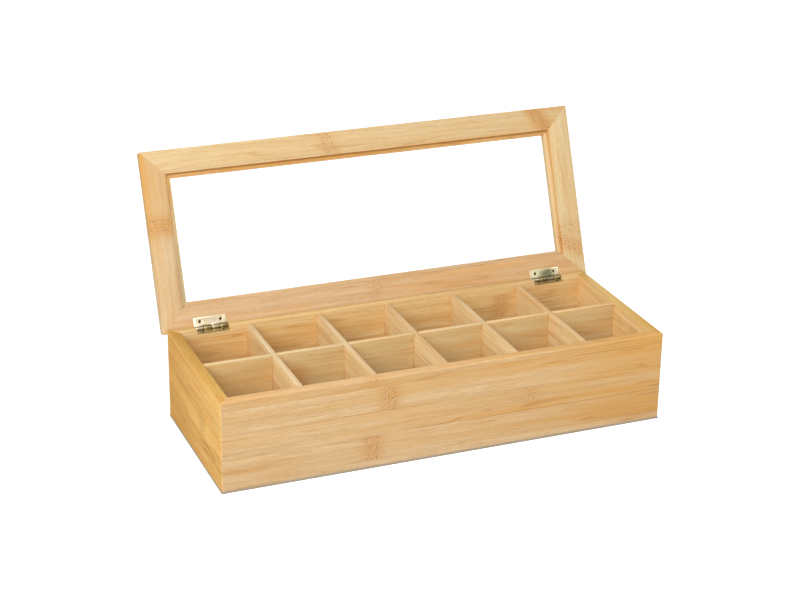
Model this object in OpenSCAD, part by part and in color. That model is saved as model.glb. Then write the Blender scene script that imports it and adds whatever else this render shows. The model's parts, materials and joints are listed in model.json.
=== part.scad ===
// Hinged tea bag organizer box with a window in its lid.
// Origin at the centre of the footprint, +X to the right, front at -Y, +Z up.
// The lid is drawn closed on the box and then swung back to its stop.

/* [Box] */
// Outside width of the box
box_w = 430; // [300:1:520]
// Outside depth of the box, front to back
box_d = 166; // [130:1:240]
// Outside height of the box without its lid
box_h = 87; // [60:1:130]
// Thickness of the four walls
wall_t = 10; // [9:0.5:14]
// Radius on the upright outer corners
corner_r = 2; // [1:0.25:4]
// Radius on the outer top edges of the walls
edge_r = 1.5; // [1.5:0.25:2.5]
// Radius on the inner top edges of the walls
inner_edge_r = 0.6; // [0.3:0.1:1]
// Thickness of the base panel
base_t = 4; // [3:0.5:8]
// How far the base panel is let into each wall
base_in = 4; // [2:0.5:6]

/* [Compartments] */
// Thickness of the dividers
div_t = 5; // [3:0.5:8]
// How far the dividers stop below the tops of the walls
div_drop = 1; // [0.5:0.5:10]

/* [Lid] */
// Thickness of the lid's frame
lid_t = 9; // [7.5:0.5:14]
// How far the lid stands past the front and the sides
lid_over = 4; // [1:0.5:6]
// Width of the frame's underside, from its outer edge to the rebate
frame_w = 22.5; // [18:0.5:35]
// How far the frame's lip reaches in past the rebate
lip_w = 4.5; // [2:0.5:8]
// Depth of the rebate that holds the pane
rebate_h = 2.5; // [2:0.25:4]
// Thickness of the clear pane
pane_t = 2; // [1:0.25:2]
// Radius on the frame's outer top edges
lid_edge_r = 1.5; // [0.5:0.25:2.5]
// Radius on the frame's outer bottom edges
lid_soft_r = 0.5; // [0.25:0.25:0.75]
// Radius on the window's top edges
window_edge_r = 0.8; // [0.3:0.1:1.5]
// Angle between the closed lid and the lid on its stop
open_angle = 111.8; // [102:0.2:120]

/* [Hinges] */
// Length of each hinge along its pin
hinge_w = 31.5; // [26:0.5:45]
// Distance from the side of the box to the hinge's outer end
hinge_inset = 26.5; // [20:0.5:28]
// Thickness of the hinge's sheet metal
leaf_t = 0.8; // [0.6:0.1:1]
// Reach of the lid's leaf, from the pin to its free edge
leaf_reach = 10; // [9:0.5:15]
// Radius on the free corners of the leaves
leaf_corner_r = 1; // [0.5:0.1:2]
// Number of knuckles on each hinge, held in turn by its two leaves
knuckles = 4; // [3:1:6]
// Outer radius of the knuckles
knuckle_r = 2.1; // [1.9:0.05:2.3]
// Radius of the hinge pin
pin_r = 0.95; // [0.8:0.05:0.95]

/* [Screws] */
// Length of the wood screws
screw_l = 6.5; // [5:0.5:7]
// Radius of the screw's shank
shank_r = 0.9; // [0.7:0.05:1.1]
// Radius of the screw's countersunk head
head_r = 1.9; // [1.5:0.1:2.2]
// Height of the countersunk head
head_h = 1.1; // [0.9:0.1:1.3]
// Distance from the hinge's ends to its screws
screw_in = 5.7; // [4.5:0.1:8]
// Distance from the pin to the screws
screw_reach = 6.2; // [5.5:0.1:6.8]
// Least width of metal between a screw's head and the free edge of its leaf
screw_edge = 0.3; // [0.2:0.1:0.5]
// Width of each slot in the cross recess
recess_w = 0.5; // [0.3:0.05:0.7]
// Length of each slot in the cross recess
recess_l = 2.1; // [1.6:0.1:2.6]
// Depth of the cross recess
recess_h = 0.6; // [0.4:0.1:0.8]

/* [Clearances] */
// Gap all round the base panel in its rebate
base_gap = 0.2; // [0.1:0.05:0.5]
// Gap at each end of a divider
div_gap = 0.15; // [0.05:0.05:0.4]
// Gap on each side of a halved joint
lap_gap = 0.1; // [0.05:0.05:0.3]
// Gap all round the pane in its rebate
pane_gap = 0.4; // [0.2:0.1:1]
// Gap under the closed lid
closed_gap = 0.1; // [0.05:0.05:0.2]
// Gap between the lid's edge and the back wall on the stop
stop_gap = 0.06; // [0.04:0.01:0.1]
// Gap between the knuckles and the wood round them
knuckle_gap = 0.15; // [0.1:0.05:0.3]
// Gap between the knuckles of one leaf and the sheet of the other
leaf_gap = 0.3; // [0.2:0.05:0.4]
// Gap between one knuckle and the next
turn_gap = 0.15; // [0.1:0.05:0.3]
// Gap between the pin and the knuckles' bore
pin_gap = 0.05; // [0.03:0.01:0.08]
// Gap at each end of a hinge in its notch
notch_gap = 0.3; // [0.2:0.1:0.6]
// Gap round a screw in its hole
screw_gap = 0.03; // [0.02:0.01:0.06]

/* [Hidden] */

$fn = 48;
// Straight steps in each rounded edge
arc_steps = 5;
// How far a cutting shape runs past what it cuts
over_cut = 1;
// Compartments side by side in each of the two rows
columns = 6;

box_wood = "#DDB77D";
side_wood = "#E0B573";
divider_wood = "#E6C48D";
lid_wood = "#E4C18F";
hinge_metal = "#D9CFA8";
clear = [0.93, 0.96, 0.97, 0.35];

// Box
cell_w = (box_w - 2*wall_t - (columns - 1)*div_t) / columns;
div_top = box_h - div_drop;
lap_z = (base_t + div_top) / 2;

// Lid, closed: its rear edge is flush with the back wall
lid_w = box_w + 2*lid_over;
lid_d = box_d + lid_over;
lid_y = -lid_over / 2;
lid_z = box_h + closed_gap;
rail_w = frame_w + lip_w;

// Hinge: the pin's drop below the lid, and its setback from the rear face.
// The setback brings the lid's rear bottom edge onto the back wall at the open angle.
pin_drop = knuckle_r + knuckle_gap;
pin_setback = (
  (pin_drop + lid_soft_r)*sin(open_angle) - lid_soft_r*(1 + cos(open_angle)) - stop_gap
) / (1 - cos(open_angle));
pin_y = box_d/2 - pin_setback;
pin_z = lid_z - pin_drop;
hinge_x = box_w/2 - hinge_inset - hinge_w/2;
bore_r = pin_r + pin_gap;
sweep_r = knuckle_r + leaf_gap;
knuckle_w = (hinge_w - (knuckles - 1)*turn_gap) / knuckles;
back_edge_r = max(edge_r, pin_setback);

// The box leaf lies on the floor of a notch in the back wall, level with the bottom of
// the knuckles, and ends flush with the wall's inner face
seat_z = -knuckle_r;
box_reach = wall_t - pin_setback;
box_screw_reach = min(screw_reach, box_reach - head_r - screw_edge);

// Points of an arc from angle a0 to angle a1
function arc(x, y, r, a0, a1) = [
  for (i = [0:arc_steps])
    let (a = a0 + (a1 - a0)*i/arc_steps)
    [x + r*cos(a), y + r*sin(a)]
];

// Plan of a mitred member: its outer face lies on y = 0 and its inner face on y = w
function mitred_plan(len, w, r) = concat(
  arc(-len/2 + r, r, r, 225, 270),
  arc(len/2 - r, r, r, 270, 315),
  [[len/2 - w, w], [-len/2 + w, w]]
);

// Section of a wall, with the rebate for the base panel at its foot
function wall_section(outer_r) = concat(
  [[0, 0]],
  arc(outer_r, box_h - outer_r, outer_r, 180, 90),
  arc(wall_t - inner_edge_r, box_h - inner_edge_r, inner_edge_r, 90, 0),
  [[wall_t, base_t], [wall_t - base_in, base_t], [wall_t - base_in, 0]]
);

// Section of the lid's frame, with the rebate for the pane on its underside
function frame_section() = concat(
  [[frame_w, 0], [frame_w, rebate_h], [rail_w, rebate_h]],
  arc(rail_w - window_edge_r, lid_t - window_edge_r, window_edge_r, 0, 90),
  arc(lid_edge_r, lid_t - lid_edge_r, lid_edge_r, 90, 180),
  arc(lid_soft_r, lid_soft_r, lid_soft_r, 180, 270)
);

// Draws a section in the YZ plane along X
module along_x(len) {
  rotate([90, 0, 90]) linear_extrude(len, center = true) children();
}

module mitred(len, w, h, section) {
  intersection() {
    linear_extrude(h) polygon(mitred_plan(len, w, corner_r));
    along_x(len) polygon(section);
  }
}

module wall(len, outer_r = edge_r) {
  mitred(len, wall_t, box_h, wall_section(outer_r));
}

module rail(len) {
  mitred(len, rail_w, lid_t, frame_section());
}

// Puts a part drawn on the closed lid where the open lid carries it
module opened() {
  translate([0, pin_y, pin_z]) rotate([-open_angle, 0, 0]) translate([0, -pin_y, -pin_z]) children();
}

// Puts a part drawn round a hinge's centre at the left hinge, side -1, or the right one, side 1
module at_hinge(side) {
  translate([side*hinge_x, pin_y, pin_z]) children();
}

// A countersunk screw, pointing down from the face it is driven into
module screw_shape(gap = 0) {
  tip_h = shank_r;
  translate([0, 0, -head_h]) cylinder(h = head_h, r1 = shank_r + gap, r2 = head_r + gap);
  translate([0, 0, tip_h - screw_l]) cylinder(h = screw_l - tip_h, r = shank_r + gap);
  translate([0, 0, -screw_l - gap]) cylinder(h = tip_h + gap, r1 = shank_r/4 + gap, r2 = shank_r + gap);
}

module screw() {
  difference() {
    screw_shape();
    for (turn = [0, 90])
      rotate([0, 0, turn]) translate([-recess_l/2, -recess_w/2, -recess_h])
        cube([recess_l, recess_w, recess_h + over_cut]);
  }
}

// Places of the two screws in the lid's leaf, on the closed lid, driven upwards
module at_lid_screws() {
  for (end = [-1, 1])
    translate([end*(hinge_w/2 - screw_in), -screw_reach, pin_drop - leaf_t])
      rotate([180, 0, 0]) children();
}

// Places of the two screws in the box's leaf, driven down into the wall
module at_box_screws() {
  for (end = [-1, 1])
    translate([end*(hinge_w/2 - screw_in), -box_screw_reach, seat_z + leaf_t]) children();
}

module barrel(len, r) {
  rotate([0, 90, 0]) cylinder(h = len, r = r, center = true);
}

// What the back wall loses to one hinge
module hinge_seat() {
  seat_w = hinge_w + 2*notch_gap;
  pocket = knuckle_r + knuckle_gap;
  translate([-seat_w/2, -box_reach - over_cut, seat_z])
    cube([seat_w, wall_t + 2*over_cut, pin_drop - seat_z + over_cut]);
  translate([-seat_w/2, -pocket, -pocket]) cube([seat_w, pocket + pin_setback + over_cut, 2*pocket]);
  at_box_screws() screw_shape(screw_gap);
}

// One leaf round the pin: a sheet from the height z up, and every second knuckle from the first one on
module leaf(reach, z, first) {
  sheet = concat(
    arc(leaf_corner_r - hinge_w/2, leaf_corner_r - reach, leaf_corner_r, 180, 270),
    arc(hinge_w/2 - leaf_corner_r, leaf_corner_r - reach, leaf_corner_r, 270, 360),
    [[hinge_w/2, -sweep_r], [-hinge_w/2, -sweep_r]]
  );
  difference() {
    union() {
      translate([0, 0, z]) linear_extrude(leaf_t) polygon(sheet);
      for (i = [first:2:knuckles - 1])
        translate([(i + 0.5)*(knuckle_w + turn_gap) - (hinge_w + turn_gap)/2, 0, 0]) {
          barrel(knuckle_w, knuckle_r);
          translate([-knuckle_w/2, -sweep_r, z]) cube([knuckle_w, sweep_r, leaf_t]);
        }
    }
    barrel(hinge_w + over_cut, bore_r);
    children();
  }
}

// Lid leaf, drawn on the closed lid
module lid_leaf() {
  leaf(leaf_reach, pin_drop - leaf_t, 0) at_lid_screws() screw_shape(screw_gap);
}

module box_leaf() {
  leaf(box_reach, seat_z, 1) at_box_screws() screw_shape(screw_gap);
}

module front_wall() {
  color(box_wood) translate([0, -box_d/2, 0]) wall(box_w);
}

module back_wall() {
  color(box_wood) difference() {
    translate([0, box_d/2, 0]) rotate([0, 0, 180]) wall(box_w, back_edge_r);
    for (side = [-1, 1])
      at_hinge(side) hinge_seat();
  }
}

module left_wall() {
  color(side_wood) translate([-box_w/2, 0, 0]) rotate([0, 0, -90]) wall(box_d);
}

module right_wall() {
  color(side_wood) translate([box_w/2, 0, 0]) rotate([0, 0, 90]) wall(box_d);
}

module base_panel() {
  inset = wall_t - base_in + base_gap;
  color(divider_wood) translate([inset - box_w/2, inset - box_d/2, 0])
    cube([box_w - 2*inset, box_d - 2*inset, base_t]);
}

function divider_x(k) = -box_w/2 + wall_t + k*cell_w + (k - 0.5)*div_t;

// The long divider is slotted from the top, and the cross dividers from below
module long_divider() {
  len = box_w - 2*wall_t - 2*div_gap;
  slot_w = div_t + 2*lap_gap;
  color(divider_wood) difference() {
    translate([-len/2, -div_t/2, base_t]) cube([len, div_t, div_top - base_t]);
    for (k = [1:columns - 1])
      translate([divider_x(k) - slot_w/2, -div_t, lap_z]) cube([slot_w, 2*div_t, div_top]);
  }
}

module cross_divider(k) {
  len = box_d - 2*wall_t - 2*div_gap;
  slot_w = div_t + 2*lap_gap;
  color(divider_wood) translate([divider_x(k), 0, 0]) difference() {
    translate([-div_t/2, -len/2, base_t]) cube([div_t, len, div_top - base_t]);
    translate([-div_t, -slot_w/2, 0]) cube([2*div_t, slot_w, lap_z + lap_gap]);
  }
}

module lid_front_rail() {
  color(lid_wood) opened() translate([0, lid_y - lid_d/2, lid_z]) rail(lid_w);
}

module lid_back_rail() {
  color(lid_wood) opened() difference() {
    translate([0, lid_y + lid_d/2, lid_z]) rotate([0, 0, 180]) rail(lid_w);
    for (side = [-1, 1])
      at_hinge(side) at_lid_screws() screw_shape(screw_gap);
  }
}

module lid_left_stile() {
  color(lid_wood) opened() translate([-lid_w/2, lid_y, lid_z]) rotate([0, 0, -90]) rail(lid_d);
}

module lid_right_stile() {
  color(lid_wood) opened() translate([lid_w/2, lid_y, lid_z]) rotate([0, 0, 90]) rail(lid_d);
}

// The pane is seated against the frame's lip from the underside
module window_pane() {
  inset = frame_w + pane_gap;
  color(clear) opened()
    translate([inset - lid_w/2, lid_y - lid_d/2 + inset, lid_z + rebate_h - pane_t])
      cube([lid_w - 2*inset, lid_d - 2*inset, pane_t]);
}

module hinge_lid_leaf(side) {
  color(hinge_metal) opened() at_hinge(side) lid_leaf();
}

module hinge_box_leaf(side) {
  color(hinge_metal) at_hinge(side) box_leaf();
}

module hinge_pin(side) {
  color(hinge_metal) at_hinge(side) barrel(hinge_w, pin_r);
}

module hinge_lid_screws(side) {
  color(hinge_metal) opened() at_hinge(side) at_lid_screws() screw();
}

module hinge_box_screws(side) {
  color(hinge_metal) at_hinge(side) at_box_screws() screw();
}

front_wall();
back_wall();
left_wall();
right_wall();
base_panel();
long_divider();
cross_divider(1);  // cross_divider_1
cross_divider(2);  // cross_divider_2
cross_divider(3);  // cross_divider_3
cross_divider(4);  // cross_divider_4
cross_divider(5);  // cross_divider_5
lid_front_rail();
lid_back_rail();
lid_left_stile();
lid_right_stile();
window_pane();
hinge_lid_leaf(-1);  // left_hinge_lid_leaf
hinge_box_leaf(-1);  // left_hinge_box_leaf
hinge_pin(-1);  // left_hinge_pin
hinge_lid_screws(-1);  // left_hinge_lid_screws
hinge_box_screws(-1);  // left_hinge_box_screws
hinge_lid_leaf(1);  // right_hinge_lid_leaf
hinge_box_leaf(1);  // right_hinge_box_leaf
hinge_pin(1);  // right_hinge_pin
hinge_lid_screws(1);  // right_hinge_lid_screws
hinge_box_screws(1);  // right_hinge_box_screws
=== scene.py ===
import json
import math
from collections import namedtuple

import bpy
from mathutils import Matrix, Vector


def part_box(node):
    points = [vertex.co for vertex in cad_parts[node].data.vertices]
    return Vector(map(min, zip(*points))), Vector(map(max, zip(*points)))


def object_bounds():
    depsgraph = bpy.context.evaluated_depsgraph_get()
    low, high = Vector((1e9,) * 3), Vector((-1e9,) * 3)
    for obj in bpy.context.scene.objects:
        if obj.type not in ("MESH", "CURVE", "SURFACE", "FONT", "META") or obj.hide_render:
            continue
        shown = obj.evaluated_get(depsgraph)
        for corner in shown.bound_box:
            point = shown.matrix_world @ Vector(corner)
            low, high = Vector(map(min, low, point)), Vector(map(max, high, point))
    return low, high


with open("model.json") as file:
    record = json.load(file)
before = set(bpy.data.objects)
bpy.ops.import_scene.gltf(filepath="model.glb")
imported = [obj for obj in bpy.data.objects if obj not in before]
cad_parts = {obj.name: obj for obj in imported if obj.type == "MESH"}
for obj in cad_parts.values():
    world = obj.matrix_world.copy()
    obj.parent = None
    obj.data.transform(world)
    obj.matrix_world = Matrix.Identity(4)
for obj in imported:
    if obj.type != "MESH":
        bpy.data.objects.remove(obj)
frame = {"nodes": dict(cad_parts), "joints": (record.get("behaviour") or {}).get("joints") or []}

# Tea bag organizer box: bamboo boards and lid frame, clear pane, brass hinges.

CAD_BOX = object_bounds()
NODES = frame["nodes"]
HINGE = frame["joints"][0]
PIN = Vector(HINGE["pos_m"])
CLOSING_ANGLE = math.radians(HINGE["range_deg"][1])
MM = 0.001
MM_PER_M = 1000.0
AXES = "XYZ"


# Colours

def srgb(red, green, blue):
    """Linear colour of an 8-bit display colour, by the curve of the sRGB standard."""
    def linear(level):
        share = level / 255.0
        return share / 12.92 if share <= 0.04045 else ((share + 0.055) / 1.055) ** 2.4
    return (linear(red), linear(green), linear(blue), 1.0)


WHITE = (1.0, 1.0, 1.0, 1.0)

# The pale and the deep colour between which each kind of board varies
TINTS = {
    "front_wall": (srgb(231, 201, 157), srgb(204, 164, 112)),
    "back_wall": (srgb(240, 213, 159), srgb(214, 172, 109)),
    "left_wall": (srgb(255, 222, 143), srgb(247, 177, 97)),
    "right_wall": (srgb(255, 228, 168), srgb(242, 196, 132)),
    "base_panel": (srgb(240, 204, 150), srgb(214, 170, 108)),
    # The long divider is darker than the cross dividers as painted shade on its face inside the box; its top
    # edge is made lighter again below
    "long_divider": (srgb(219, 196, 146), srgb(200, 166, 110)),
    "cross_divider": (srgb(249, 224, 174), srgb(230, 193, 134)),
    "lid_front_rail": (srgb(233, 212, 169), srgb(208, 174, 121)),
    "lid_back_rail": (srgb(222, 194, 157), srgb(195, 157, 110)),
    "lid_left_stile": (srgb(226, 201, 160), srgb(202, 165, 116)),
    "lid_right_stile": (srgb(230, 211, 170), srgb(206, 174, 121)),
}

# How a board's top edge and its lip at the window differ from its face, as factors of its colour: painted
# light and shade, for how the light falls there
TOP_LIGHT_AND_SHADE = {
    "front_wall": (1.19, 1.18, 1.11, 1.0),
    "left_wall": (0.82, 0.80, 0.69, 1.0),
    "right_wall": (0.76, 0.71, 0.49, 1.0),
    "long_divider": (1.26, 1.29, 1.43, 1.0),
    "cross_divider": (0.88, 0.87, 0.93, 1.0),
}
LIP_LIGHT_AND_SHADE = {
    "lid_front_rail": (1.0, 0.74, 0.44, 1.0),
    "lid_left_stile": (1.04, 1.12, 1.16, 1.0),
    "lid_right_stile": (1.18, 1.1, 1.02, 1.0),
}

# The same for the painted shade in the rebate's corner and the painted highlight on its rim, for the
# painted shade on the part of the back wall's top that the open lid shades, for the inside of the left
# wall, paler and less orange, and for the painted shade on the barrel of a hinge
CORNER_SHADE = (0.78, 0.70, 0.56, 1.0)
RIM_HIGHLIGHT = (1.1, 1.03, 1.0, 1.0)
LID_SHADE_TONE = (0.80, 0.77, 0.62, 1.0)
INNER_TONE = (0.96, 1.02, 1.07, 1.0)
BARREL_SHADE = (0.74, 0.70, 0.72, 1.0)

# The marks in the wood
GOLD = srgb(217, 163, 88)
ROSE = srgb(218, 172, 130)
STREAK = srgb(186, 128, 66)
SEAM = srgb(186, 126, 62)
# Painted shade along the foot of the front and left walls, not a mark in the wood
FOOT_SHADE_COLOUR = srgb(186, 170, 148)
KNOT_HALO = srgb(206, 150, 82)
KNOT_DARK = srgb(162, 96, 56)
KNOT_PALE = srgb(240, 208, 166)

# The bright and the dull colour of the brass, of the same brass with a painted darker reflection and with
# painted shade, and of the screws, and the marks on it
PALE_BRASS = (srgb(230, 214, 182), srgb(190, 178, 132))
BRASS_IN_DARK_REFLECTION = (srgb(220, 210, 176), srgb(164, 164, 124))
BRASS_IN_SHADE = (srgb(204, 190, 142), srgb(128, 116, 72))
SCREW_BRASS = (srgb(206, 190, 146), srgb(120, 104, 66))
RECESS_SHADE = srgb(46, 34, 16)
# A painted dark reflection on the right hinge's lid leaf
DARK_REFLECTION_COLOUR = srgb(104, 108, 76)
# Painted shade in the crease above a hinge's barrel and in the joints between its knuckles
HINGE_GAP_SHADE = srgb(74, 64, 36)

PANE_TINT = (0.985, 0.99, 0.99, 1.0)
FLOOR_COLOUR = (0.62, 0.63, 0.65, 1.0)
# Painted contact shadow on the floor along the box's foot
CONTACT_SHADOW_COLOUR = (0.2, 0.17, 0.13, 1.0)


# Shader nodes

class Shader:
    """The node tree of a material or a world. An input given as a socket is linked, and any other
    value is set."""

    def __init__(self, owner, output="ShaderNodeOutputMaterial"):
        self.owner = owner
        owner.use_nodes = True
        self.tree = owner.node_tree
        self.tree.nodes.clear()
        self.output = self.tree.nodes.new(output)

    def fill(self, sockets, inputs):
        for key, value in inputs.items():
            if isinstance(value, bpy.types.NodeSocket):
                self.tree.links.new(value, sockets[key])
            else:
                sockets[key].default_value = value

    def node(self, kind, inputs=None, **settings):
        made = self.tree.nodes.new(kind)
        for name, value in settings.items():
            setattr(made, name, value)
        self.fill(made.inputs, inputs or {})
        return made

    def math(self, operation, a, b=0.0, c=0.0, clamp=False):
        made = self.node("ShaderNodeMath", {0: a, 1: b, 2: c}, operation=operation, use_clamp=clamp)
        return made.outputs[0]

    def add(self, a, b):
        return self.math("ADD", a, b)

    def multiply(self, a, b):
        return self.math("MULTIPLY", a, b)

    def distance(self, a, b):
        return self.math("ABSOLUTE", self.math("SUBTRACT", a, b))

    def smooth(self, value, low, high, to_low=0.0, to_high=1.0):
        """Smooth step of a value, from to_low at low to to_high at high."""
        inputs = {"Value": value, "From Min": low, "From Max": high, "To Min": to_low, "To Max": to_high}
        made = self.node("ShaderNodeMapRange", inputs, interpolation_type="SMOOTHSTEP")
        return made.outputs["Result"]

    def position(self):
        """Where a point of a piece is in the frame, in metres."""
        return self.node("ShaderNodeTexCoord").outputs["Object"]

    def vector(self, x, y, z):
        return self.node("ShaderNodeCombineXYZ", {0: x, 1: y, 2: z}).outputs[0]

    def parts(self, vector):
        return self.node("ShaderNodeSeparateXYZ", {0: vector}).outputs

    def scaled(self, vector, factor):
        made = self.node("ShaderNodeVectorMath", {0: vector, "Scale": factor}, operation="SCALE")
        return made.outputs["Vector"]

    def length(self, vector):
        return self.node("ShaderNodeVectorMath", {0: vector}, operation="LENGTH").outputs["Value"]

    def noise(self, position, detail, scale=1.0):
        inputs = {"Vector": position, "Scale": scale, "Detail": detail}
        return self.node("ShaderNodeTexNoise", inputs).outputs[0]

    def random(self, value):
        """Repeatable random number from 0 to 1 for each whole value."""
        return self.node("ShaderNodeTexWhiteNoise", {"W": value}, noise_dimensions="1D").outputs["Value"]

    def mix(self, factor, a, b, blend="MIX"):
        made = self.node("ShaderNodeMix", data_type="RGBA", blend_type=blend)
        sockets = {socket.name: socket for socket in made.inputs if socket.enabled}
        self.fill(sockets, {"Factor": factor, "A": a, "B": b})
        return next(socket for socket in made.outputs if socket.enabled)

    def bump(self, height, depth):
        return self.node("ShaderNodeBump", {"Height": height, "Distance": depth}).outputs[0]

    def finish(self, shader):
        self.tree.links.new(shader.outputs[0], self.output.inputs["Surface"])
        return self.owner


def mesh_bounds(node, closed):
    """The low and the high corner of a piece's mesh in the frame, turned onto the closed lid if asked."""
    turn = Matrix.Rotation(CLOSING_ANGLE if closed else 0.0, 4, "X")
    corners = [PIN + turn @ (vertex.co - PIN) for vertex in node.data.vertices]
    low = Vector([min(corner[axis] for corner in corners) for axis in range(len(AXES))])
    high = Vector([max(corner[axis] for corner in corners) for axis in range(len(AXES))])
    return low, high


def closed_position(shader, in_lid):
    """Where a point is in the frame, in metres. A point of the lid is taken with the lid closed."""
    position = shader.position()
    if not in_lid:
        return position
    inputs = {"Vector": position, "Center": PIN, "Angle": CLOSING_ANGLE}
    return shader.node("ShaderNodeVectorRotate", inputs, rotation_type="X_AXIS").outputs[0]


# The boards. Lengths and places are in mm, and places on the lid are taken with the lid closed.

# A board is glued up from strips of cane of this width, counted from its first one.
STRIP_W = 23.4

# A knot is the band across one strip where two lengths of the cane meet: its strip, its place
# along the grain, its slant, and how strong its flecks and the golden haze round it are.
Knot = namedtuple("Knot", "strip place slant flecks haze", defaults=(0.0, 0.8, 0.6))

# A stretch of glue line that shows clearly: the strip above it, the middle of the stretch
# along the grain and half its length, and its strength.
Seam = namedtuple("Seam", "strip place reach strength")

# A board's kind, its grain axis, the axis across its strips, where its first strip starts, the
# seed of its figure, its knots, how golden and how rosy it is, how much more golden it gets from
# one place along the grain to another, its clear seams, how much deeper some strips are, and the
# strength of its slow figure and of its quick one.
Board = namedtuple(
    "Board", "kind grain across first_strip seed knots gold rosy drift seams deep_strips slow quick",
    defaults=((), 0.2, 0.0, None, (), (), 1.0, 1.0),
)

# The first glue line of the walls lies this high, and that of the long divider lower
FIRST_SEAM_H = 8.0
BOX_STRIP = FIRST_SEAM_H - STRIP_W
LONG_DIVIDER_DROP = 6.0
BOARDS = {
    "front_wall": Board(
        "front_wall", "X", "Z", BOX_STRIP, seed=3.0, gold=0.1, drift=(60.0, 200.0, 0.48),
        knots=(
            Knot(3, -58.0, 0.05, 1.1, 0.8), Knot(1, -75.0, 0.0, 1.1, 0.7),
            Knot(2, 80.5, -0.05, 0.7, 0.3), Knot(4, -72.0, 0.3, 0.8, 0.5),
        ),
        seams=(Seam(3, -110.0, 130.0, 0.45), Seam(2, 150.0, 180.0, 0.6), Seam(4, 190.0, 100.0, 0.6)),
        deep_strips=((4, 0.26), (0, -0.3)),
    ),
    "back_wall": Board(
        "back_wall", "X", "Z", BOX_STRIP, seed=11.0, gold=0.12,
        knots=(Knot(3, 120.0, 0.05), Knot(1, 31.0, -0.05), Knot(2, -146.0)),
    ),
    "left_wall": Board(
        "left_wall", "Y", "Z", BOX_STRIP, seed=17.0, gold=0.28, drift=(-70.0, 80.0, 0.45),
        knots=(Knot(2, -26.0, 0.1, 0.5, 0.3),), slow=0.6, quick=1.6,
    ),
    "right_wall": Board(
        "right_wall", "Y", "Z", BOX_STRIP, seed=23.0, gold=0.05,
        knots=(Knot(1, 22.0, 0.1), Knot(3, -44.0, 0.0, 0.5, 0.4)),
    ),
    "base_panel": Board(
        "base_panel", "X", "Y", first_strip=-81.9, seed=29.0,
        knots=(Knot(1, -102.0), Knot(3, 64.0), Knot(5, 156.0)),
    ),
    "long_divider": Board(
        "long_divider", "X", "Z", BOX_STRIP - LONG_DIVIDER_DROP, seed=31.0,
        knots=(Knot(2, 88.0), Knot(3, -117.0)),
    ),
}

# From one cross divider to the next the strips lie lower and the seed is another one
DIVIDER_DROP = 3.0
DIVIDER_SEED = 37.0
DIVIDER_SEED_STEP = 6.0
DIVIDER_KNOTS = (Knot(2, 38.0), Knot(1, -51.0), Knot(3, 17.0), Knot(2, -20.0), Knot(1, 55.0))
for count, knot in enumerate(DIVIDER_KNOTS):
    BOARDS[f"cross_divider_{count + 1}"] = Board(
        "cross_divider", "Y", "Z", BOX_STRIP - DIVIDER_DROP * count,
        seed=DIVIDER_SEED + DIVIDER_SEED_STEP * count, knots=(knot,),
    )

LID_BOARDS = {
    "lid_front_rail": Board(
        "lid_front_rail", "X", "Y", first_strip=-88.0, seed=73.0, gold=0.1, drift=(120.0, 215.0, 0.15),
        knots=(Knot(0, -35.6, 0.4, 0.9, 0.4), Knot(0, 188.0, 0.6, 0.9, 1.1)), slow=0.65, quick=0.95,
    ),
    "lid_back_rail": Board(
        "lid_back_rail", "X", "Y", first_strip=59.0, seed=79.0, gold=0.03, rosy=0.12,
        knots=(Knot(0, -7.0, -0.2, 0.9, 0.3),), drift=(-80.0, 200.0, 0.3),
    ),
    "lid_left_stile": Board(
        "lid_left_stile", "Y", "X", first_strip=-220.0, seed=83.0, gold=0.06, drift=(20.0, -65.0, 0.6),
        knots=(Knot(0, -17.5, 0.0, 1.1, 1.0),),
    ),
    "lid_right_stile": Board(
        "lid_right_stile", "Y", "X", first_strip=194.0, seed=89.0, gold=0.09,
        knots=(Knot(0, 35.0, 0.0, 0.7, 0.3), Knot(0, 51.0, 0.5, 1.1, 0.8)), slow=0.75, quick=0.9,
    ),
}


# The grain of bamboo

# A figure of the grain: the length and the width of its streaks in mm, how ragged they are, and
# where in the noise it starts, so that no two figures match.
Figure = namedtuple("Figure", "length width detail start", defaults=(0.0,))
BROAD = Figure(190.0, 6.0, 2.0)
MIDDLING = Figure(40.0, 1.7, 2.0)
FINE = Figure(6.0, 0.6, 1.0)
RINGS = Figure(190.0, 9.0, 1.0, 7.0)
RING_FADE = Figure(110.0, 14.0, 1.0, 31.0)
PATCHES = Figure(230.0, 22.0, 1.0, 19.0)
GILDING = Figure(90.0, 5.0, 2.0, 41.0)

# How far the grain sways to either side, and over what length and width
SWAY = 3.0
SWAY_LENGTH = 190.0
SWAY_WIDTH = 40.0
SWAY_DETAIL = 1.0

# How far apart in the noise the strips may start
STRIP_SHIFT = 90.0
# What is added to a board's seed for each thing that varies from strip to strip
TONE_DRAW = 0
BLUSH_DRAW = 50
GOLD_DRAW = 80

# A noise, a random number and a place in a strip go from 0 to 1, and this is the middle
MIDDLE = 0.5
# Two strip numbers nearer than this are the same strip
SAME_STRIP = 0.5


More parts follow.
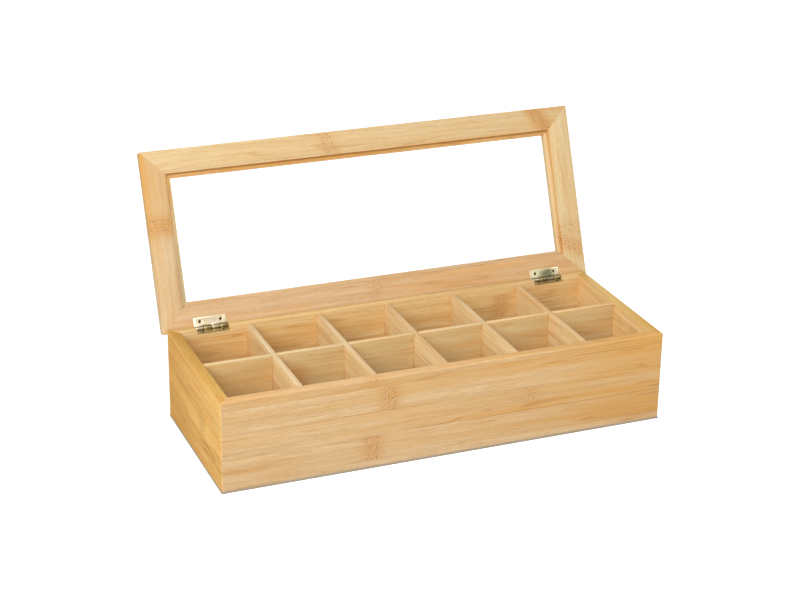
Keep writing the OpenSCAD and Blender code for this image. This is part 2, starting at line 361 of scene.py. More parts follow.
class Grain:
    """A board's coordinates in its shader, in mm, and the figures of its grain that serve more than
    once."""

    def __init__(self, shader, board, in_lid):
        self.shader = shader
        self.board = board
        parts = shader.parts(shader.scaled(closed_position(shader, in_lid), MM_PER_M))
        through = next(axis for axis in AXES if axis not in (board.grain, board.across))
        self.along = parts[board.grain]
        self.across = parts[board.across]
        self.through = parts[through]
        self.swayed = self.swayed_across()
        from_first = shader.math("SUBTRACT", self.across, board.first_strip)
        self.strip_place = shader.math("DIVIDE", from_first, STRIP_W)
        self.strip = shader.math("FLOOR", self.strip_place)
        self.strip_tone = self.by_strip(TONE_DRAW)
        self.shift = shader.math("MULTIPLY_ADD", self.strip_tone, STRIP_SHIFT, board.seed)
        self.middling = self.swaying(MIDDLING)
        self.fine = self.swaying(FINE)

    def swayed_across(self):
        shader = self.shader
        sway = shader.noise(shader.vector(
            shader.math("MULTIPLY_ADD", self.along, 1 / SWAY_LENGTH, self.board.seed),
            shader.multiply(self.across, 1 / SWAY_WIDTH),
            shader.multiply(self.through, 1 / SWAY_WIDTH),
        ), SWAY_DETAIL)
        return shader.add(self.across, shader.math("MULTIPLY_ADD", sway, 2 * SWAY, -SWAY))

    def by_strip(self, draw):
        """Random number from 0 to 1 for each strip, another one for each draw."""
        return self.shader.random(self.shader.add(self.strip, self.board.seed + draw))

    def streaks(self, across, start, figure):
        """Streaks of a figure, for a place across the board and a start in the noise."""
        shader = self.shader
        return shader.noise(shader.vector(
            shader.math("MULTIPLY_ADD", self.along, 1 / figure.length, start),
            shader.math("MULTIPLY_ADD", across, 1 / figure.width, start),
            shader.multiply(self.through, 1 / figure.width),
        ), figure.detail)

    def swaying(self, figure):
        """Streaks that sway with the grain, other ones in each strip."""
        return self.streaks(self.swayed, self.shader.add(self.shift, figure.start), figure)

    def straight(self, figure):
        """Streaks that don't sway, other ones in each strip."""
        return self.streaks(self.across, self.shader.add(self.shift, figure.start), figure)

    def swings(self, parts):
        """The sum of how far each part is from its middle, times the part's amount."""
        total = 0.0
        for value, amount in parts:
            swing = self.shader.math("SUBTRACT", value, MIDDLE)
            total = self.shader.math("MULTIPLY_ADD", swing, amount, total)
        return total


# How much each figure deepens the tone, how much it gilds, and how much the rose varies
BROAD_TONE = 1.2
MIDDLING_TONE = 0.95
FINE_TONE = 0.95
STRIP_TONE = 0.12
PATCHES_GOLD = 1.5
GILDING_GOLD = 1.1
STRIP_GOLD = 0.2
BLUSH = 0.08

# The contour lines of the rings: how many a full swing of their figure would cross, their width,
# and the noise from which they begin to show to where they show fully
RING_COUNT = 11.0
RING_LINE_W = 0.28
RING_FADE_RANGE = (0.36, 0.6)
STREAK_STRENGTH = 0.26
STREAK_STRENGTH_IN_GOLD = 0.4


def deep_strips(grain):
    """How much deeper than the rest the board's deep strips are."""
    depth = 0.0
    for strip, deeper in grain.board.deep_strips:
        on_strip = grain.shader.math("COMPARE", grain.strip, strip, SAME_STRIP)
        depth = grain.shader.math("MULTIPLY_ADD", on_strip, deeper, depth)
    return depth


def wood_tone(grain, depth):
    """0 where the wood is pale, and 1 where it is deep."""
    tone = grain.swings((
        (grain.swaying(BROAD), BROAD_TONE * grain.board.slow),
        (grain.middling, MIDDLING_TONE * grain.board.quick),
        (grain.fine, FINE_TONE * grain.board.quick),
        (grain.strip_tone, STRIP_TONE),
    ))
    return grain.shader.math("ADD", grain.shader.add(tone, depth), MIDDLE, clamp=True)


def golden(grain, depth):
    """1 where the wood is golden: in patches, in streaks and, on some boards, towards one end."""
    shader = grain.shader
    board = grain.board
    gold = grain.swings((
        (grain.straight(PATCHES), PATCHES_GOLD * board.slow),
        (grain.swaying(GILDING), GILDING_GOLD * board.slow),
        (grain.by_strip(GOLD_DRAW), STRIP_GOLD),
    ))
    if board.drift:
        start, end, amount = board.drift
        gold = shader.add(gold, shader.smooth(grain.along, start, end, 0.0, amount))
    return shader.math("ADD", shader.add(gold, depth), board.gold, clamp=True)


def ring_lines(grain):
    """1 on the nested contour lines of a slow figure, which fade out in places."""
    shader = grain.shader
    rings = shader.math("PINGPONG", shader.multiply(grain.swaying(RINGS), RING_COUNT), 1.0)
    lines = shader.smooth(rings, RING_LINE_W, 0.0)
    fade = grain.streaks(grain.across, RING_FADE.start, RING_FADE)
    return shader.multiply(lines, shader.smooth(fade, *RING_FADE_RANGE))


def plain_wood(grain):
    """The colour of the wood itself, without its glue lines and knots."""
    shader = grain.shader
    depth = deep_strips(grain)
    colour = shader.mix(wood_tone(grain, depth), *TINTS[grain.board.kind])
    gold = golden(grain, depth)
    colour = shader.mix(gold, colour, GOLD)
    blush = shader.math("MULTIPLY_ADD", grain.by_strip(BLUSH_DRAW), BLUSH, grain.board.rosy)
    colour = shader.mix(blush, colour, ROSE)
    strength = shader.math("MULTIPLY_ADD", gold, STREAK_STRENGTH_IN_GOLD, STREAK_STRENGTH)
    return shader.mix(shader.multiply(ring_lines(grain), strength), colour, STREAK)


# Glue lines: their width, the length over which they fade in and out, the noise over which they
# do so, and their strength where they are faint and where they are clear
SEAM_W = 0.8
SEAM_STRETCH = 55.0
SEAM_DETAIL = 1.0
SEAM_RANGE = (0.4, 0.75)
SEAM_FAINT = 0.08
SEAM_CLEAR = 0.35
# How near its glue line a listed seam shows, in strips, and the share of its reach within which
# it is at its strongest
SEAM_NEAR = 0.2
SEAM_CORE = 0.5


def glue_lines(grain):
    """1 on the glue lines between the strips."""
    shader = grain.shader
    in_strip = shader.math("SUBTRACT", grain.strip_place, grain.strip)
    from_edge = shader.math("MINIMUM", in_strip, shader.math("SUBTRACT", 1.0, in_strip))
    return shader.smooth(from_edge, SEAM_W / STRIP_W, 0.0)


def seam_strength(grain):
    """How strongly the glue lines show: clearly in some stretches and faintly in others."""
    shader = grain.shader
    place = shader.vector(shader.multiply(grain.along, 1 / SEAM_STRETCH), grain.strip, grain.board.seed)
    strength = shader.smooth(shader.noise(place, SEAM_DETAIL), *SEAM_RANGE, SEAM_FAINT, SEAM_CLEAR)
    for seam in grain.board.seams:
        on_line = shader.math("COMPARE", grain.strip_place, seam.strip, SEAM_NEAR)
        beside = shader.distance(grain.along, seam.place)
        shown = shader.smooth(beside, seam.reach, SEAM_CORE * seam.reach, 0.0, seam.strength)
        strength = shader.math("MAXIMUM", strength, shader.multiply(on_line, shown))
    return strength


# Knots: how far their line wanders and over what width, from where to where their haze grows,
# and how far from their line the band of flecks lies and from where to where it fills in
KNOT_WANDER = 3.0
KNOT_WANDER_W = 2.6
KNOT_WANDER_DETAIL = 2.0
HAZE_REACH = (18.0, 3.0)
BAND_AT = 5.0
BAND_REACH = (3.6, 1.0)
# Farther from a knot than any of its marks
ELSEWHERE = 1000.0
# Flecks: their length and width, the noise over which they fill in, and how far the dark ones
# lie from the light ones, as a share of their size
FLECK_LENGTH = 1.9
FLECK_W = 1.2
FLECK_DETAIL = 1.0
FLECK_RANGE = (0.5, 0.64)
DARK_SLIP = 0.45
HAZE_STRENGTH = 0.7
DARK_STRENGTH = 0.7
LIGHT_STRENGTH = 0.5


def knot_distance(grain, knot):
    """Distance along the grain from the middle line of a knot, and far away outside its strip."""
    shader = grain.shader
    middle = grain.board.first_strip + (knot.strip + MIDDLE) * STRIP_W
    slanted = shader.math("MULTIPLY_ADD", grain.across, -knot.slant, knot.slant * middle - knot.place)
    on_strip = shader.math("COMPARE", grain.strip, knot.strip, SAME_STRIP)
    outside = shader.math("MULTIPLY_ADD", on_strip, -ELSEWHERE, ELSEWHERE)
    return shader.add(shader.math("ABSOLUTE", shader.add(grain.along, slanted)), outside)


def knot_reach(grain):
    """The strength of the haze round the board's knots, and of the bands of flecks beside them."""
    shader = grain.shader
    place = shader.vector(shader.multiply(grain.across, 1 / KNOT_WANDER_W), grain.board.seed, 0.0)
    wander = shader.noise(place, KNOT_WANDER_DETAIL)
    haze = 0.0
    band = 0.0
    for knot in grain.board.knots:
        distance = shader.math("MULTIPLY_ADD", wander, KNOT_WANDER, knot_distance(grain, knot))
        haze = shader.math("MAXIMUM", haze, shader.smooth(distance, *HAZE_REACH, 0.0, knot.haze))
        from_band = shader.distance(distance, BAND_AT)
        band = shader.math("MAXIMUM", band, shader.smooth(from_band, *BAND_REACH, 0.0, knot.flecks))
    return haze, band


def flecks(grain, band, slip):
    """Short flecks inside the knots' bands, moved by a slip in the noise."""
    shader = grain.shader
    place = shader.vector(
        shader.math("MULTIPLY_ADD", grain.along, 1 / FLECK_LENGTH, slip),
        shader.math("MULTIPLY_ADD", grain.across, 1 / FLECK_W, -slip),
        shader.multiply(grain.through, 1 / FLECK_W),
    )
    return shader.multiply(shader.smooth(shader.noise(place, FLECK_DETAIL), *FLECK_RANGE), band)


def with_knots(grain, colour, haze, light, dark):
    """A golden haze round the knots, and light flecks with dark edges in them."""
    mix = grain.shader.mix
    colour = mix(grain.shader.multiply(haze, HAZE_STRENGTH), colour, KNOT_HALO)
    colour = mix(grain.shader.multiply(dark, DARK_STRENGTH), colour, KNOT_DARK)
    return mix(grain.shader.multiply(light, LIGHT_STRENGTH), colour, KNOT_PALE)


# Painted light and shade and other tones of a board's parts, and the bamboo of a whole board

# Each pair says where a tone begins and where it is full.
# Inwards from the pane's edge: the lip, its corner and the two sides of its rim
LIP_REACH = (-0.9, -0.3)
CORNER_REACH = (2.2, 0.0)
RIM_OUTSIDE = (-2.0, -1.2)
RIM_INSIDE = (-0.4, -0.9)
# Up from the pane's upper face: the lip
LIP_DEPTH = (5.0, 1.0)
# Height of a normal: a face that looks up
LOOKS_UP = (0.4, 0.9)
# Along Y: the strip of the back wall's top that the open lid shades
UNDER_LID = (78.4, 81.0)
# Along X: the inner half of the left wall
INNER_HALF = (-209.0, -206.0)
# Above the ground: the foot, which gets painted shade
FOOT_REACH = (2.8, 1.0)
FOOT_SHADE_STRENGTH = 0.85

# The lips that get neither the painted corner shade nor the painted rim highlight, and the boards that get
# painted shade along their foot
PLAIN_LIPS = ("lid_left_stile",)
FOOT_SHADE_BOARDS = ("front_wall", "left_wall")

# The lacquer, and the relief of the wood below it
LACQUER_IOR = 1.45
LACQUER_ROUGHNESS = 0.34
ROUGHNESS_SPREAD = 0.16
GLOSS = 0.04
# Boards without gloss: seen at a flat angle, it would veil their colour
GLOSSLESS_BOARDS = ("left_wall",)
RELIEF_DEPTH = 0.04 * MM
FLECK_RELIEF = 0.4
SEAM_RELIEF = -0.3


def with_lip_light_and_shade(grain, colour):
    """The rebate and the lip beside the pane with painted light and shade, with painted shade in the
    rebate's corner and a painted highlight on its rim.
    """
    shader = grain.shader
    low, high = mesh_bounds(NODES["window_pane"], closed=True)
    axis = AXES.index(grain.board.across)
    inward = shader.math("MINIMUM",
        shader.math("SUBTRACT", grain.across, low[axis] * MM_PER_M),
        shader.math("SUBTRACT", high[axis] * MM_PER_M, grain.across),
    )
    pane_top = high.z * MM_PER_M
    below = shader.smooth(grain.through, *(pane_top + up for up in LIP_DEPTH))
    lip = shader.multiply(shader.smooth(inward, *LIP_REACH), below)
    colour = shader.mix(lip, colour, LIP_LIGHT_AND_SHADE[grain.board.kind], "MULTIPLY")
    if grain.board.kind in PLAIN_LIPS:
        return colour
    # Painted shade in the rebate's corner and a painted highlight on its rim
    corner = shader.multiply(shader.smooth(inward, *CORNER_REACH), lip)
    colour = shader.mix(corner, colour, CORNER_SHADE, "MULTIPLY")
    rim = shader.multiply(shader.smooth(inward, *RIM_OUTSIDE), shader.smooth(inward, *RIM_INSIDE))
    return shader.mix(rim, colour, RIM_HIGHLIGHT, "MULTIPLY")


def on_top(shader):
    """1 where a face looks up."""
    normal = shader.node("ShaderNodeNewGeometry").outputs["True Normal"]
    return shader.smooth(shader.parts(normal)["Z"], *LOOKS_UP)


def with_part_tones(grain, colour):
    """The lip, the top edge, the shaded strip and the foot of a board with painted light and shade, and the
    inside of the left wall in a paler, less orange tone.
    """
    shader = grain.shader
    kind = grain.board.kind
    if kind in LIP_LIGHT_AND_SHADE:
        colour = with_lip_light_and_shade(grain, colour)
    # Painted light or shade on the faces that look up
    if kind in TOP_LIGHT_AND_SHADE:
        colour = shader.mix(on_top(shader), colour, TOP_LIGHT_AND_SHADE[kind], "MULTIPLY")
    if kind == "left_wall":
        inside = shader.smooth(grain.through, *INNER_HALF)
        colour = shader.mix(inside, colour, INNER_TONE, "MULTIPLY")
    if kind == "back_wall":
        shaded = shader.multiply(on_top(shader), shader.smooth(grain.through, *UNDER_LID))
        colour = shader.mix(shaded, colour, LID_SHADE_TONE, "MULTIPLY")
    # Painted shade along the foot
    if kind in FOOT_SHADE_BOARDS:
        foot = shader.smooth(grain.across, *FOOT_REACH, 0.0, FOOT_SHADE_STRENGTH)
        colour = shader.mix(foot, colour, FOOT_SHADE_COLOUR)
    return colour


def bamboo(name, board, in_lid):
    """Lacquered bamboo of one board: its wood, its glue lines, its knots and the tones of its parts."""
    shader = Shader(bpy.data.materials.new(name))
    grain = Grain(shader, board, in_lid)
    seam = glue_lines(grain)
    colour = shader.mix(shader.multiply(seam, seam_strength(grain)), plain_wood(grain), SEAM)
    height = grain.fine
    if board.knots:
        haze, band = knot_reach(grain)
        light = flecks(grain, band, 0.0)
        colour = with_knots(grain, colour, haze, light, flecks(grain, band, DARK_SLIP))
        height = shader.math("MULTIPLY_ADD", light, FLECK_RELIEF, height)
    height = shader.math("MULTIPLY_ADD", seam, SEAM_RELIEF, height)
    inputs = {
        "Base Color": with_part_tones(grain, colour),
        "Roughness": shader.math("MULTIPLY_ADD", grain.middling, ROUGHNESS_SPREAD, LACQUER_ROUGHNESS),
        "Normal": shader.bump(height, RELIEF_DEPTH),
        "IOR": LACQUER_IOR,
        "Specular IOR Level": 0.0 if board.kind in GLOSSLESS_BOARDS else GLOSS,
    }
    return shader.finish(shader.node("ShaderNodeBsdfPrincipled", inputs))


# The pane

SMEAR_SCALE = 22.0
SMEAR_DETAIL = 3.0
SMEAR_RANGE = (0.4, 0.75)
PANE_ROUGHNESS = (0.02, 0.06)
# The share of light that the pane mirrors: seen head-on, what it gains at a flat angle, and how
# late it gains that
MIRROR_HEAD_ON = 0.008
MIRROR_GAIN = 0.9
MIRROR_LATENESS = 5.0
# The blend with which a facing goes evenly from 0 head-on to 1 at a flat angle
EVEN_BLEND = 0.5


def clear_pane():
    """Clear sheet that mirrors more at a flat angle, the same from both sides, and lets the rest
    through."""
    shader = Shader(bpy.data.materials.new("clear_pane"))
    smear = shader.noise(shader.position(), SMEAR_DETAIL, SMEAR_SCALE)
    roughness = shader.smooth(smear, *SMEAR_RANGE, *PANE_ROUGHNESS)
    through = shader.node("ShaderNodeBsdfTransparent", {"Color": PANE_TINT})
    mirror = shader.node("ShaderNodeBsdfGlossy", {"Color": WHITE, "Roughness": roughness})
    facing = shader.node("ShaderNodeLayerWeight", {"Blend": EVEN_BLEND}).outputs["Facing"]
    late = shader.math("POWER", facing, MIRROR_LATENESS)
    share = shader.math("MULTIPLY_ADD", late, MIRROR_GAIN, MIRROR_HEAD_ON)
    mixed = shader.node("ShaderNodeMixShader", {0: share, 1: through.outputs[0], 2: mirror.outputs[0]})
    return shader.finish(mixed)


# Brass. Scales are in features per metre, and lengths on the hinge are in mm.

PATCH_SCALE = 150.0
PATCH_DETAIL = 3.0
DULL_RANGE = (0.42, 0.7)
# The rolling marks are long in X
MARK_SCALE = (60.0, 2400.0, 2400.0)
MARK_DETAIL = 2.0
MARK_DEPTH = 0.01 * MM
BRASS_ROUGHNESS = 0.24
DULL_ROUGHNESS = 0.25
MARK_ROUGHNESS = 0.08

# Up the open lid from the pin, the lid leaf's plate meets the barrel here
CREASE_UP = 1.5
# The painted shade of the crease, of the joints between the knuckles and of the barrel: where it sets in and
# how strong it is
CREASE_REACH = (0.8, 0.2)
CREASE_STRENGTH = 0.7
KNUCKLES = 4
JOINT_REACH = (0.8, 0.3)
JOINT_STRENGTH = 0.8
BARREL_R = 2.1
BARREL_FADE_UP = 0.6
BARREL_FADE_DOWN = 0.4

# The painted dark reflection lies beside the leaf's middle and above the pin, and fades over these shares
# of its half width and half height
REFLECTION_BESIDE = 3.5
REFLECTION_UP = 4.5
REFLECTION_HALF_W = 9.5
REFLECTION_HALF_H = 6.5
REFLECTION_FADE = (1.2, 0.3)
REFLECTION_STRENGTH = 0.9

# From where to where the painted shade in a screw's recess sets in, as shares of its head's radius
RECESS_REACH = (0.85, 0.5)
RECESS_STRENGTH = 0.95


def brass(name, colours, wear, details):
    """Plated sheet brass with duller patches and faint rolling marks, and a piece's own details on it."""
    shader = Shader(bpy.data.materials.new(name))
    position = shader.position()
    patches = shader.noise(position, PATCH_DETAIL, PATCH_SCALE)
    stretched = shader.node("ShaderNodeMapping", {"Vector": position, "Scale": MARK_SCALE})
    marks = shader.noise(stretched.outputs[0], MARK_DETAIL)
    dull = shader.smooth(patches, *DULL_RANGE, 0.0, wear)
    roughness = shader.math("MULTIPLY_ADD", dull, DULL_ROUGHNESS, BRASS_ROUGHNESS)
    inputs = {
        "Base Color": details(shader, shader.mix(dull, *colours)),
        "Metallic": 1.0,
        "Roughness": shader.math("MULTIPLY_ADD", marks, MARK_ROUGHNESS, roughness),
        "Normal": shader.bump(marks, MARK_DEPTH),
    }
    return shader.finish(shader.node("ShaderNodeBsdfPrincipled", inputs))


def place_on_hinge(shader):
    """Where a point is along the pin and up the open lid from it, in mm."""
    inputs = {0: shader.position(), 1: PIN}
    offset = shader.node("ShaderNodeVectorMath", inputs, operation="SUBTRACT").outputs["Vector"]
    offset = shader.scaled(offset, MM_PER_M)
    inputs = {0: offset, 1: Vector((0.0, -math.cos(CLOSING_ANGLE), math.sin(CLOSING_ANGLE)))}
    up = shader.node("ShaderNodeVectorMath", inputs, operation="DOT_PRODUCT").outputs["Value"]
    return shader.parts(offset)["X"], up


def with_barrel_shade(shader, colour, leaf):
    """Painted shade on the barrel, darker still in the joints between its knuckles and in the crease above
    it.
    """
    low, high = mesh_bounds(leaf, closed=False)
    beside, up = place_on_hinge(shader)
    on_barrel = shader.multiply(
        shader.smooth(up, CREASE_UP + BARREL_FADE_UP, CREASE_UP),
        shader.smooth(up, -BARREL_R - BARREL_FADE_DOWN, -BARREL_R),
    )
    colour = shader.mix(on_barrel, colour, BARREL_SHADE, "MULTIPLY")
    pitch = (high.x - low.x) * MM_PER_M / KNUCKLES
    from_joint = shader.math("PINGPONG", shader.math("SUBTRACT", beside, low.x * MM_PER_M), pitch / 2)
    joint = shader.multiply(shader.smooth(from_joint, *JOINT_REACH, 0.0, JOINT_STRENGTH), on_barrel)
    crease = shader.smooth(shader.distance(up, CREASE_UP), *CREASE_REACH, 0.0, CREASE_STRENGTH)
    return shader.mix(shader.math("MAXIMUM", joint, crease), colour, HINGE_GAP_SHADE)


def with_painted_reflection(shader, colour, leaf):
    """Painted dark greenish reflection on the plate of a leaf."""
    low, high = mesh_bounds(leaf, closed=False)
    middle = (low.x + high.x) / 2 * MM_PER_M + REFLECTION_BESIDE
    beside, up = place_on_hinge(shader)
    away = shader.length(shader.vector(
        shader.math("MULTIPLY_ADD", beside, 1 / REFLECTION_HALF_W, -middle / REFLECTION_HALF_W),
        shader.math("MULTIPLY_ADD", up, 1 / REFLECTION_HALF_H, -REFLECTION_UP / REFLECTION_HALF_H),
        0.0,
    ))
    return shader.mix(shader.smooth(away, *REFLECTION_FADE, 0.0, REFLECTION_STRENGTH), colour, DARK_REFLECTION_COLOUR)


def with_recess_shade(shader, colour, screws, in_lid):
    """Painted shade in the recesses of the heads of a pair of screws that stand side by side along X."""
    low, high = mesh_bounds(screws, closed=in_lid)
    centre = (low + high) / 2
    head_r = (high.y - low.y) / 2
    from_centre = (high.x - low.x) / 2 - head_r
    parts = shader.parts(closed_position(shader, in_lid))
    beside = shader.math("SUBTRACT", shader.distance(parts["X"], centre.x), from_centre)
    away = shader.vector(beside, shader.math("SUBTRACT", parts["Y"], centre.y), 0.0)
    reach = [share * head_r for share in RECESS_REACH]
    recess = shader.smooth(shader.length(away), *reach, 0.0, RECESS_STRENGTH)
    return shader.mix(recess, colour, RECESS_SHADE)


# Edges

SMOOTH_ANGLE = math.radians(28)
FLAT_ANGLE = math.radians(0.5)
WELD_DISTANCE = 0.002 * MM
BEVEL_SEGMENTS = 2


def smooth_edges_group():
    """Geometry nodes that shade a mesh smooth except across its sharp edges."""
    group = bpy.data.node_groups.new("smooth_edges", "GeometryNodeTree")
    group.interface.new_socket("Geometry", in_out="INPUT", socket_type="NodeSocketGeometry")
    group.interface.new_socket("Geometry", in_out="OUTPUT", socket_type="NodeSocketGeometry")
    start = group.nodes.new("NodeGroupInput")
    end = group.nodes.new("NodeGroupOutput")
    plain = group.nodes.new("GeometryNodeRemoveAttribute")
    plain.inputs["Name"].default_value = "custom_normal"
    faces = group.nodes.new("GeometryNodeSetShadeSmooth")
    edges = group.nodes.new("GeometryNodeSetShadeSmooth")
    edges.domain = "EDGE"
    edges.inputs["Shade Smooth"].default_value = False
    angle = group.nodes.new("GeometryNodeInputMeshEdgeAngle")
    sharp = group.nodes.new("FunctionNodeCompare")
    sharp.operation = "GREATER_THAN"
    sharp.inputs["B"].default_value = SMOOTH_ANGLE
    link = group.links.new
    link(start.outputs[0], plain.inputs["Geometry"])
    link(plain.outputs["Geometry"], faces.inputs["Geometry"])
    link(faces.outputs[0], edges.inputs["Geometry"])
    link(angle.outputs["Unsigned Angle"], sharp.inputs["A"])
    link(sharp.outputs[0], edges.inputs["Selection"])
    link(edges.outputs[0], end.inputs[0])
    return group


SMOOTH_EDGES = smooth_edges_group()


def ease_edges(piece, width):
    """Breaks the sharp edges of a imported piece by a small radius, with its mesh left as it is."""
    weld = piece.modifiers.new("weld", "WELD")
    weld.merge_threshold = WELD_DISTANCE
    flat = piece.modifiers.new("flat", "DECIMATE")
    flat.decimate_type = "DISSOLVE"
    flat.angle_limit = FLAT_ANGLE
    bevel = piece.modifiers.new("bevel", "BEVEL")
    bevel.width = width
    bevel.segments = BEVEL_SEGMENTS
    bevel.limit_method = "ANGLE"
    bevel.angle_limit = SMOOTH_ANGLE
    bevel.use_clamp_overlap = False
    smooth = piece.modifiers.new("smooth", "NODES")
    smooth.node_group = SMOOTH_EDGES


# Dressing the pieces

# How wide the eased edges are, and how far the pane stays off its rebate
WALL_EDGE = 0.04 * MM
LID_EDGE = 0.1 * MM
DIVIDER_EDGE = 0.45 * MM
PANE_EDGE = 0.15 * MM
PANE_CLEARANCE = 0.03 * MM
LEAF_EDGE = 0.12 * MM
PIN_EDGE = 0.2 * MM
SCREW_EDGE = 0.05 * MM

# How a hinge's lid leaf looks: its colours, how dull its patches are and whether it gets a painted dark
# reflection
LeafLook = namedtuple("LeafLook", "colours wear tarnished")
LID_LEAVES = {
    "left": LeafLook(PALE_BRASS, 0.35, False),
    # The right leaf's colours are a painted darker reflection of the same brass
    "right": LeafLook(BRASS_IN_DARK_REFLECTION, 0.6, True),
}
BOX_LEAF_WEAR = 0.6
SCREW_WEAR = 0.5


def dress(piece, material, edge):
    piece.data.materials.clear()
    piece.data.materials.append(material)
    ease_edges(piece, edge)


def dress_boards():
    for name, board in BOARDS.items():
        edge = DIVIDER_EDGE if "divider" in name else WALL_EDGE
        dress(NODES[name], bamboo(name, board, in_lid=False), edge)
    for name, board in LID_BOARDS.items():
        dress(NODES[name], bamboo(name, board, in_lid=True), LID_EDGE)


def dress_pane():
    """The pane, drawn in a little so that it doesn't touch its rebate."""
    pane = NODES["window_pane"]
    dress(pane, clear_pane(), PANE_EDGE)
    clearance = pane.modifiers.new("clearance", "DISPLACE")
    clearance.mid_level = 0.0
    clearance.strength = -PANE_CLEARANCE


def dress_hinge(side, look):
    """Both leaves, the pin and the screws of the hinge on one side."""
    lid_leaf = NODES[f"{side}_hinge_lid_leaf"]

    def barrel(shader, colour):
        return with_barrel_shade(shader, colour, lid_leaf)

    def lid_leaf_details(shader, colour):
        # A painted dark reflection on the plate
        if look.tarnished:
            colour = with_painted_reflection(shader, colour, lid_leaf)
        return barrel(shader, colour)

    # The box leaf and the pin in the brass with painted shade
    shaded_brass = brass(f"{side}_box_leaf_brass", BRASS_IN_SHADE, BOX_LEAF_WEAR, barrel)
    pale = brass(f"{side}_lid_leaf_brass", look.colours, look.wear, lid_leaf_details)
    dress(lid_leaf, pale, LEAF_EDGE)
    dress(NODES[f"{side}_hinge_box_leaf"], shaded_brass, LEAF_EDGE)
    dress(NODES[f"{side}_hinge_pin"], shaded_brass, PIN_EDGE)
    for body in ("lid", "box"):
        dress_screws(side, body)


def dress_screws(side, body):
    """The pair of screws that holds one leaf of a hinge to the lid or to the box."""
    screws = NODES[f"{side}_hinge_{body}_screws"]

    def recesses(shader, colour):
        return with_recess_shade(shader, colour, screws, in_lid=(body == "lid"))

    dress(screws, brass(f"{side}_{body}_screw_brass", SCREW_BRASS, SCREW_WEAR, recesses), SCREW_EDGE)


# Camera, at the photograph's viewing angle. Places are in metres, and the lens and the sensor in mm.

AZIMUTH = math.radians(-22.240)
ELEVATION = math.radians(22.868)
ROLL = math.radians(0.824)
DISTANCE = 1.969318
LOOK_AT = Vector((0.039091, 0.135506, 0.05962))
LENS = 88.79
SENSOR = 36.0


def add_camera():
    back = Vector((
        math.sin(AZIMUTH) * math.cos(ELEVATION),
        -math.cos(AZIMUTH) * math.cos(ELEVATION),
        math.sin(ELEVATION),
    ))
    level_right = (-back).cross(Vector((0, 0, 1))).normalized()
    level_up = level_right.cross(-back)
    right = math.cos(ROLL) * level_right + math.sin(ROLL) * level_up
    up = math.cos(ROLL) * level_up - math.sin(ROLL) * level_right
    data = bpy.data.cameras.new("camera")
    data.lens = LENS
    data.sensor_width = SENSOR
    camera = bpy.data.objects.new("camera", data)
    turn = Matrix((right, up, back)).transposed().to_4x4()
    camera.matrix_world = Matrix.Translation(LOOK_AT + back * DISTANCE) @ turn
    bpy.context.scene.collection.objects.link(camera)
    bpy.context.scene.camera = camera


# Light and floor

AMBIENT = 0.45
FLOOR_HALF = 8.0
SQUARE = ((-1, -1), (1, -1), (1, 1), (-1, 1))
# The strength of the floor's own light for the eye, away from the box and at its foot, and for mirrors; the
# weaker light at the foot is part of a painted shadow
GLOW_AWAY = 0.75
GLOW_AT_FOOT = 0.05
GLOW_IN_MIRRORS = 0.5
# The painted shadow along the box's foot fades out from the inner to the outer width
FOOT_SHADE_INNER = 0.3 * MM
FOOT_SHADE_OUTER = 1.8 * MM

# Square lamps turned to the middle of the part: their places and sizes in metres, and their powers
# in watts
LAMP_SIZE = 1.6
LAMPS = {
    "key_light": ((-0.95, -2.62, 2.07), 35.0),
    "left_light": ((-2.26, -1.89, 1.82), 54.0),
    "right_light": ((2.6, -1.6, 1.5), 12.0),
    "top_light": ((-0.5, -0.9, 3.2), 6.0),
    "back_light": ((0.6, 3.0, 1.1), 22.0),
}


def ways_of_seeing(shader):
    """1 for what the eye sees by itself, and 1 for what it sees in a mirror or through glass."""
    path = shader.node("ShaderNodeLightPath").outputs
    return path["Is Camera Ray"], shader.math("MAXIMUM", path["Is Glossy Ray"], path["Is Transmission Ray"])


def add_world():
    """Even light on matt surfaces, and plain white where the surroundings themselves are seen."""
    world = bpy.data.worlds.new("studio")
    bpy.context.scene.world = world
    shader = Shader(world, "ShaderNodeOutputWorld")
    light = shader.node("ShaderNodeBackground", {"Color": WHITE, "Strength": AMBIENT})
    white = shader.node("ShaderNodeBackground", {"Color": WHITE})
    seen = shader.math("MAXIMUM", *ways_of_seeing(shader))
    shader.finish(shader.node("ShaderNodeMixShader", {0: seen, 1: light.outputs[0], 2: white.outputs[0]}))


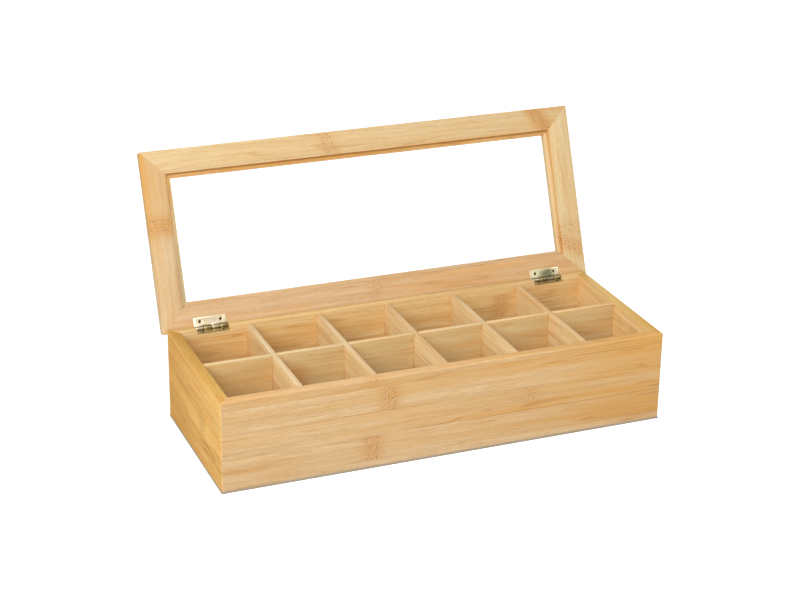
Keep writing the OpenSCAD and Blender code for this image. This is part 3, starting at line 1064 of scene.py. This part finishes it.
def floor_material():
    """Pale floor that reads white where it is lit and keeps the shadows that fall on it, with a painted
    shadow along the box's foot: a darker colour and less of its own light there.
    """
    shader = Shader(bpy.data.materials.new("floor"))
    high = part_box("back_wall")[1]
    parts = shader.parts(shader.position())
    beside = shader.math("SUBTRACT", shader.math("ABSOLUTE", parts["X"]), high.x)
    before = shader.math("SUBTRACT", shader.math("ABSOLUTE", parts["Y"]), high.y)
    outside = shader.vector(shader.math("MAXIMUM", beside, 0.0), shader.math("MAXIMUM", before, 0.0), 0.0)
    gap = shader.length(outside)
    contact_shadow = shader.smooth(gap, FOOT_SHADE_OUTER, FOOT_SHADE_INNER)
    matt = shader.node("ShaderNodeBsdfDiffuse", {"Color": shader.mix(contact_shadow, FLOOR_COLOUR, CONTACT_SHADOW_COLOUR)})
    by_itself, mirrored = ways_of_seeing(shader)
    glow = shader.smooth(gap, FOOT_SHADE_INNER, FOOT_SHADE_OUTER, GLOW_AT_FOOT, GLOW_AWAY)
    glow = shader.math("MULTIPLY_ADD", mirrored, GLOW_IN_MIRRORS, shader.multiply(glow, by_itself))
    light = shader.node("ShaderNodeEmission", {"Color": WHITE, "Strength": glow})
    return shader.finish(shader.node("ShaderNodeAddShader", {0: matt.outputs[0], 1: light.outputs[0]}))


def add_floor():
    height = CAD_BOX[0].z
    corners = [(x * FLOOR_HALF, y * FLOOR_HALF, height) for x, y in SQUARE]
    mesh = bpy.data.meshes.new("floor")
    mesh.from_pydata(corners, [], [range(len(corners))])
    mesh.materials.append(floor_material())
    floor = bpy.data.objects.new("floor", mesh)
    bpy.context.scene.collection.objects.link(floor)


def add_lamp(name, place, power):
    data = bpy.data.lights.new(name, "AREA")
    data.shape = "SQUARE"
    data.size = LAMP_SIZE
    data.energy = power
    lamp = bpy.data.objects.new(name, data)
    lamp.location = place
    towards = (CAD_BOX[0] + CAD_BOX[1]) / 2 - Vector(place)
    lamp.rotation_euler = towards.to_track_quat("-Z", "Y").to_euler()
    bpy.context.scene.collection.objects.link(lamp)


dress_boards()
dress_pane()
for side, look in LID_LEAVES.items():
    dress_hinge(side, look)
add_camera()
add_world()
add_floor()
for name, (place, power) in LAMPS.items():
    add_lamp(name, place, power)
bpy.context.scene.view_settings.view_transform = "Standard"
